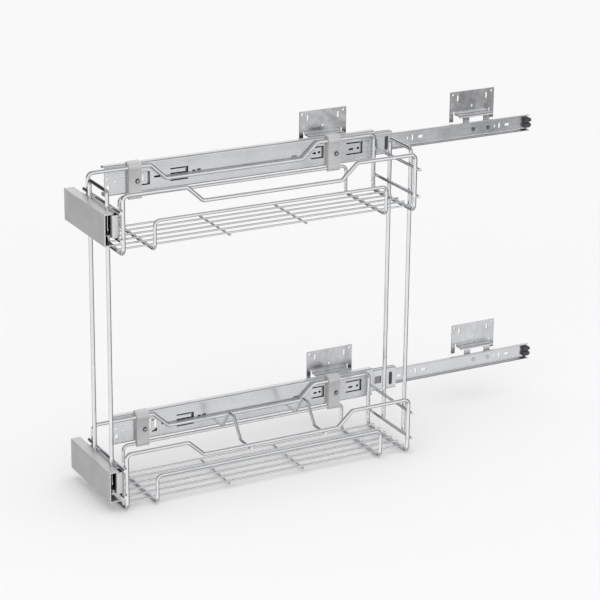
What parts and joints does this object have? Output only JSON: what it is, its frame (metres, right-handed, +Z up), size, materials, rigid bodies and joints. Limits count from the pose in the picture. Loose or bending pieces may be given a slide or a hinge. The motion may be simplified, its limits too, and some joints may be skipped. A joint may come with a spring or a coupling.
{
  "type": "pull out cabinet basket",
  "caption": "Narrow pull-out cabinet unit: chrome wire baskets on telescopic ball runners, with wall brackets, hangers and door brackets.",
  "frame": {"origin": "on the cabinet wall, midway between the corner holes of the upper front bracket", "axes": "+X from the wall to the baskets, +Y to the back of the cabinet, +Z up; the baskets pull out along -Y"},
  "size_m": [0.16, 0.8035, 0.5175],
  "materials": {
    "chrome_wire": "polished",
    "runner_zinc": "bright zinc plated",
    "galvanised": "galvanised sheet",
    "satin_plate": "satin",
    "cage_steel": "bare sheet",
    "bright_steel": "bright",
    "grey_plastic": "moulded",
    "black_rubber": "moulded"
  },
  "bodies": {
    "cabinet_side": {"upper_wall_rail": "runner_zinc", "lower_wall_rail": "runner_zinc", "upper_front_bracket": "galvanised", "upper_rear_bracket": "galvanised", "lower_front_bracket": "galvanised", "lower_rear_bracket": "galvanised", "bracket_rivets": "bright_steel", "wall_rail_bumpers": "black_rubber"},
    "upper_middle": {"upper_middle_rail": "runner_zinc", "upper_middle_bumpers": "black_rubber"},
    "lower_middle": {"lower_middle_rail": "runner_zinc", "lower_middle_bumpers": "black_rubber"},
    "upper_inner_bearing": {"upper_inner_cage": "cage_steel", "upper_inner_balls": "bright_steel"},
    "lower_inner_bearing": {"lower_inner_cage": "cage_steel", "lower_inner_balls": "bright_steel"},
    "upper_outer_bearing": {"upper_outer_cage": "cage_steel", "upper_outer_balls": "bright_steel"},
    "lower_outer_bearing": {"lower_outer_cage": "cage_steel", "lower_outer_balls": "bright_steel"},
    "baskets": {"upper_basket_frame": "chrome_wire", "lower_basket_frame": "chrome_wire", "upper_guard_loop": "chrome_wire", "lower_guard_loop": "chrome_wire", "upper_floor_wires": "chrome_wire", "lower_floor_wires": "chrome_wire", "upper_cross_wires": "chrome_wire", "lower_cross_wires": "chrome_wire", "upper_end_wires": "chrome_wire", "lower_end_wires": "chrome_wire", "bottle_dividers": "chrome_wire", "front_hanger": "chrome_wire", "rear_hanger": "chrome_wire", "upper_carrier": "runner_zinc", "lower_carrier": "runner_zinc", "rail_clips": "grey_plastic", "clip_screws": "bright_steel", "upper_door_bracket": "satin_plate", "lower_door_bracket": "satin_plate", "upper_door_clamp": "satin_plate", "lower_door_clamp": "satin_plate", "door_clamp_screws": "bright_steel"}
  },
  "joints": [
    {"name": "upper_middle_slide", "type": "slide", "parent": "cabinet_side", "child": "upper_middle", "axis": [0, -1, 0], "range_m": [-0.23, 0]},
    {"name": "lower_middle_slide", "type": "slide", "parent": "cabinet_side", "child": "lower_middle", "axis": [0, -1, 0], "range_m": [-0.23, 0]},
    {"name": "basket_slide", "type": "slide", "parent": "upper_middle", "child": "baskets", "axis": [0, -1, 0], "range_m": [-0.055, 0.165]},
    {"name": "upper_inner_bearing_slide", "type": "slide", "parent": "cabinet_side", "child": "upper_inner_bearing", "axis": [0, -1, 0], "range_m": [-0.115, 0]},
    {"name": "lower_inner_bearing_slide", "type": "slide", "parent": "cabinet_side", "child": "lower_inner_bearing", "axis": [0, -1, 0], "range_m": [-0.115, 0]},
    {"name": "upper_outer_bearing_slide", "type": "slide", "parent": "upper_middle", "child": "upper_outer_bearing", "axis": [0, -1, 0], "range_m": [-0.0275, 0.0825]},
    {"name": "lower_outer_bearing_slide", "type": "slide", "parent": "lower_middle", "child": "lower_outer_bearing", "axis": [0, -1, 0], "range_m": [-0.0275, 0.0825]}
  ],
  "couplings": [
    {"joint": "lower_middle_slide", "follows": "upper_middle_slide", "ratio": 1},
    {"joint": "upper_inner_bearing_slide", "follows": "upper_middle_slide", "ratio": 0.5},
    {"joint": "lower_inner_bearing_slide", "follows": "upper_middle_slide", "ratio": 0.5},
    {"joint": "upper_outer_bearing_slide", "follows": "basket_slide", "ratio": 0.5},
    {"joint": "lower_outer_bearing_slide", "follows": "basket_slide", "ratio": 0.5}
  ]
}
